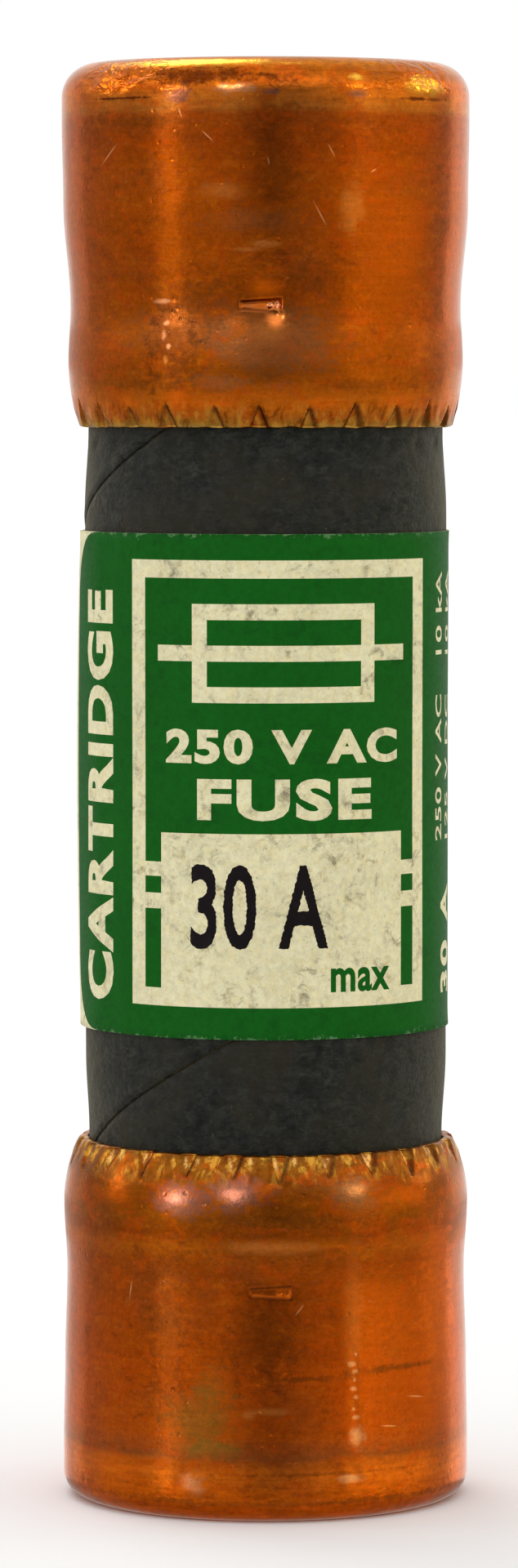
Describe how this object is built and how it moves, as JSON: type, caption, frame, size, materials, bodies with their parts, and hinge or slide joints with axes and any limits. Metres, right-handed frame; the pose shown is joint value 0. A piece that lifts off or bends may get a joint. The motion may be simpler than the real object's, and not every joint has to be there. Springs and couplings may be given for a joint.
{
  "type": "cartridge fuse",
  "caption": "Cylindrical cartridge fuse: copper ferrules crimped on a fibre tube with a paper label, and a necked zinc link in sand inside.",
  "frame": {"origin": "middle of the fuse, on its axis, halfway between the two end faces", "axes": "+Z along the fuse's axis to the upper ferrule, -Y out of the printed front of the label, +X to the right of someone who reads it"},
  "size_m": [0.0142, 0.0142, 0.0504],
  "materials": {
    "copper": "satin",
    "label_paper": "matte",
    "outer_fibre": "matte",
    "inner_fibre": "matte",
    "washer_fibre": "matte",
    "felt": "matte",
    "solder": "satin",
    "zinc": "satin",
    "quartz_sand": "matte"
  },
  "bodies": {
    "root": {"upper_ferrule": "copper", "lower_ferrule": "copper", "label": "label_paper", "tube_outer_ply": "outer_fibre", "tube_second_ply": "inner_fibre", "tube_third_ply": "inner_fibre", "tube_liner_ply": "inner_fibre", "upper_washer": "washer_fibre", "lower_washer": "washer_fibre", "upper_seal_disc": "felt", "lower_seal_disc": "felt", "upper_solder": "solder", "lower_solder": "solder", "fuse_link": "zinc", "filler": "quartz_sand"}
  },
  "joints": []
}
